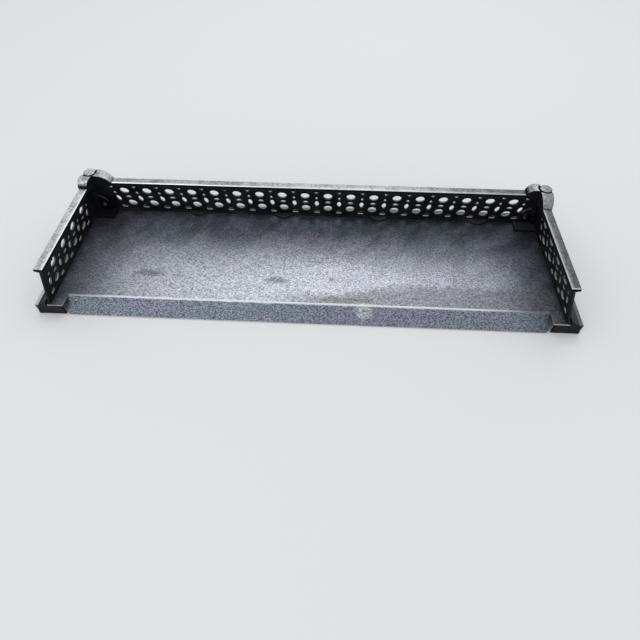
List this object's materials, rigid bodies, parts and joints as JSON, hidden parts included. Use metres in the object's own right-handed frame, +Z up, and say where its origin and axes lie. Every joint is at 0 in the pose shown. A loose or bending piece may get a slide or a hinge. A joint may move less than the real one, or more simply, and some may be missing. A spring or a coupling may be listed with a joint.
{
  "type": "hearth fender",
  "caption": "Free-standing hearth fender: flared pierced cast gallery on three sides, flat steel rails, round corner buttons and an iron sole plate with a sloping apron.",
  "frame": {"origin": "on the floor, under the middle of the whole fender", "axes": "+X along the length, to the right seen from the hearth; +Y away from the hearth, towards the room and the front of the gallery; +Z up"},
  "size_m": [1.2216, 0.3684, 0.172],
  "materials": {
    "cast_iron": "black-leaded casting, satin, worn on the edges",
    "rail_steel": "polished steel, lightly dulled",
    "cap_steel": "polished casting, lightly dulled",
    "sheet_iron": "blue-grey worn sheet iron, satin",
    "fastener": "black iron"
  },
  "bodies": {
    "root": {"sole_plate": "sheet_iron", "front_plinth": "cast_iron", "left_plinth": "cast_iron", "right_plinth": "cast_iron", "front_fret": "cast_iron", "left_fret": "cast_iron", "right_fret": "cast_iron", "front_rail": "rail_steel", "left_rail": "rail_steel", "right_rail": "rail_steel", "left_corner_post": "cast_iron", "right_corner_post": "cast_iron", "left_corner_cap": "cap_steel", "right_corner_cap": "cap_steel", "left_cap_stud": "cap_steel", "right_cap_stud": "cap_steel", "corner_bolts": "fastener", "corner_nuts": "fastener", "front_rail_screws": "fastener", "left_rail_screws": "fastener", "right_rail_screws": "fastener", "front_foot_screws": "fastener", "left_foot_screws": "fastener", "right_foot_screws": "fastener", "left_post_screws": "fastener", "right_post_screws": "fastener"}
  },
  "joints": []
}
